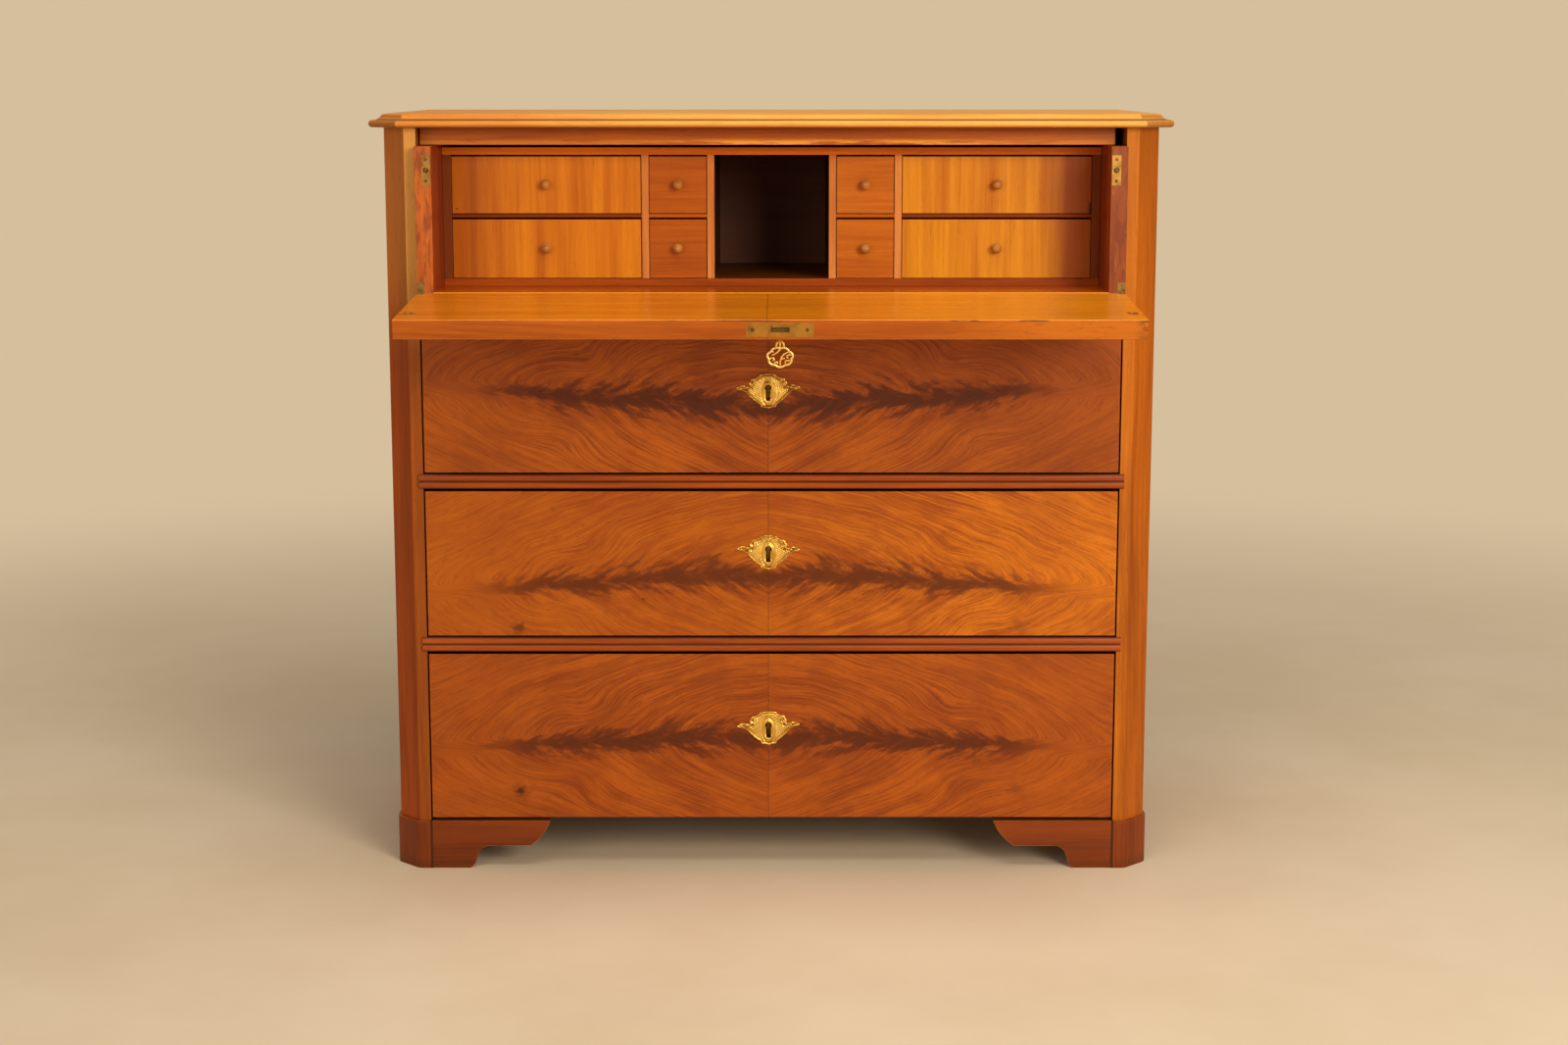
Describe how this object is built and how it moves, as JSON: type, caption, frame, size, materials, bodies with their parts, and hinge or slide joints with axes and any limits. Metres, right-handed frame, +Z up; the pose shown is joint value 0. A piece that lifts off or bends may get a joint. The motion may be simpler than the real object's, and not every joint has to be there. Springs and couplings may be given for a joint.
{
  "type": "escritoire",
  "caption": "Mahogany secretaire chest with canted corners: pull-out writing drawer with hinged fall and fitted nest over graduated long drawers, brass mounts, bracket feet.",
  "frame": {"origin": "on the floor, under the middle of the object's box with the fall open as in the picture", "axes": "+X to the right seen from the front, +Y to the back, +Z up"},
  "size_m": [1.076, 0.7353, 1.0365],
  "materials": {
    "case_mahogany": "satin varnish",
    "flame_mahogany": "satin varnish",
    "nest_mahogany": "satin varnish",
    "till_mahogany": "satin varnish",
    "lining_wood": "bare, waxed",
    "brass": "aged, hand polished"
  },
  "bodies": {
    "case": {"top_board": "case_mahogany", "frieze_rail": "case_mahogany", "side_panel_left": "case_mahogany", "side_panel_right": "case_mahogany", "corner_post_left": "case_mahogany", "corner_post_right": "case_mahogany", "back_boards": "lining_wood", "bottom_board": "lining_wood", "divider_rails": "case_mahogany", "drawer_runners": "lining_wood", "front_foot_left": "case_mahogany", "front_foot_right": "case_mahogany", "rear_feet": "case_mahogany"},
    "secretaire": {"cheek_left": "nest_mahogany", "cheek_right": "nest_mahogany", "writing_bed": "nest_mahogany", "secretaire_back": "lining_wood", "catch_plates": "brass", "hinge_brackets": "brass", "nest_base": "nest_mahogany", "nest_top": "nest_mahogany", "nest_partitions": "nest_mahogany", "nest_shelves": "nest_mahogany"},
    "fall": {"fall_board": "flame_mahogany", "hinge_pins": "brass", "fall_strikers": "brass", "fall_lock": "brass", "fall_escutcheon": "brass"},
    "key": {"key": "brass"},
    "fall_bolt": {"fall_bolt": "brass"},
    "catch_latch_left": {"catch_latch_left": "brass"},
    "catch_latch_right": {"catch_latch_right": "brass"},
    "till_far_left_upper": {"till_far_left_upper_front": "till_mahogany", "till_far_left_upper_box": "lining_wood"},
    "till_far_left_lower": {"till_far_left_lower_front": "till_mahogany", "till_far_left_lower_box": "lining_wood"},
    "till_near_left_upper": {"till_near_left_upper_front": "till_mahogany", "till_near_left_upper_box": "lining_wood"},
    "till_near_left_lower": {"till_near_left_lower_front": "till_mahogany", "till_near_left_lower_box": "lining_wood"},
    "till_near_right_upper": {"till_near_right_upper_front": "till_mahogany", "till_near_right_upper_box": "lining_wood"},
    "till_near_right_lower": {"till_near_right_lower_front": "till_mahogany", "till_near_right_lower_box": "lining_wood"},
    "till_far_right_upper": {"till_far_right_upper_front": "till_mahogany", "till_far_right_upper_box": "lining_wood"},
    "till_far_right_lower": {"till_far_right_lower_front": "till_mahogany", "till_far_right_lower_box": "lining_wood"},
    "drawer_1": {"drawer_1_front": "flame_mahogany", "drawer_1_box": "lining_wood", "drawer_1_escutcheon": "brass", "drawer_1_lock": "brass"},
    "drawer_2": {"drawer_2_front": "flame_mahogany", "drawer_2_box": "lining_wood", "drawer_2_escutcheon": "brass", "drawer_2_lock": "brass"},
    "drawer_3": {"drawer_3_front": "flame_mahogany", "drawer_3_box": "lining_wood", "drawer_3_escutcheon": "brass", "drawer_3_lock": "brass"}
  },
  "joints": [
    {"name": "secretaire_slide", "type": "slide", "parent": "case", "child": "secretaire", "axis": [0, -1, 0], "range_m": [-0.057, 0.2]},
    {"name": "fall_hinge", "type": "hinge", "parent": "secretaire", "child": "fall", "pos_m": [0, -0.14183, 0.79], "axis": [1, 0, 0], "range_deg": [-93.6, 0]},
    {"name": "key_turn", "type": "hinge", "parent": "fall", "child": "key", "pos_m": [0.012, -0.33295, 0.77798], "axis": [0, -0.0628, 0.998], "range_deg": [0, 90]},
    {"name": "bolt_throw", "type": "slide", "parent": "fall", "child": "fall_bolt", "axis": [0, -0.998, -0.0628], "range_m": [0, 0.008]},
    {"name": "catch_left_press", "type": "slide", "parent": "secretaire", "child": "catch_latch_left", "axis": [0, -1, 0], "range_m": [-0.003, 0], "stiffness_N_per_m": 300},
    {"name": "catch_right_press", "type": "slide", "parent": "secretaire", "child": "catch_latch_right", "axis": [0, -1, 0], "range_m": [-0.003, 0], "stiffness_N_per_m": 300},
    {"name": "till_far_left_upper_slide", "type": "slide", "parent": "secretaire", "child": "till_far_left_upper", "axis": [0, -1, 0], "range_m": [0, 0.2]},
    {"name": "till_far_left_lower_slide", "type": "slide", "parent": "secretaire", "child": "till_far_left_lower", "axis": [0, -1, 0], "range_m": [0, 0.2]},
    {"name": "till_near_left_upper_slide", "type": "slide", "parent": "secretaire", "child": "till_near_left_upper", "axis": [0, -1, 0], "range_m": [0, 0.2]},
    {"name": "till_near_left_lower_slide", "type": "slide", "parent": "secretaire", "child": "till_near_left_lower", "axis": [0, -1, 0], "range_m": [0, 0.2]},
    {"name": "till_near_right_upper_slide", "type": "slide", "parent": "secretaire", "child": "till_near_right_upper", "axis": [0, -1, 0], "range_m": [0, 0.2]},
    {"name": "till_near_right_lower_slide", "type": "slide", "parent": "secretaire", "child": "till_near_right_lower", "axis": [0, -1, 0], "range_m": [0, 0.2]},
    {"name": "till_far_right_upper_slide", "type": "slide", "parent": "secretaire", "child": "till_far_right_upper", "axis": [0, -1, 0], "range_m": [0, 0.2]},
    {"name": "till_far_right_lower_slide", "type": "slide", "parent": "secretaire", "child": "till_far_right_lower", "axis": [0, -1, 0], "range_m": [0, 0.2]},
    {"name": "drawer_1_slide", "type": "slide", "parent": "case", "child": "drawer_1", "axis": [0, -1, 0], "range_m": [0, 0.22]},
    {"name": "drawer_2_slide", "type": "slide", "parent": "case", "child": "drawer_2", "axis": [0, -1, 0], "range_m": [0, 0.33]},
    {"name": "drawer_3_slide", "type": "slide", "parent": "case", "child": "drawer_3", "axis": [0, -1, 0], "range_m": [0, 0.33]}
  ],
  "couplings": [
    {"joint": "bolt_throw", "follows": "key_turn", "m_per_rad": 0.0050924}
  ]
}
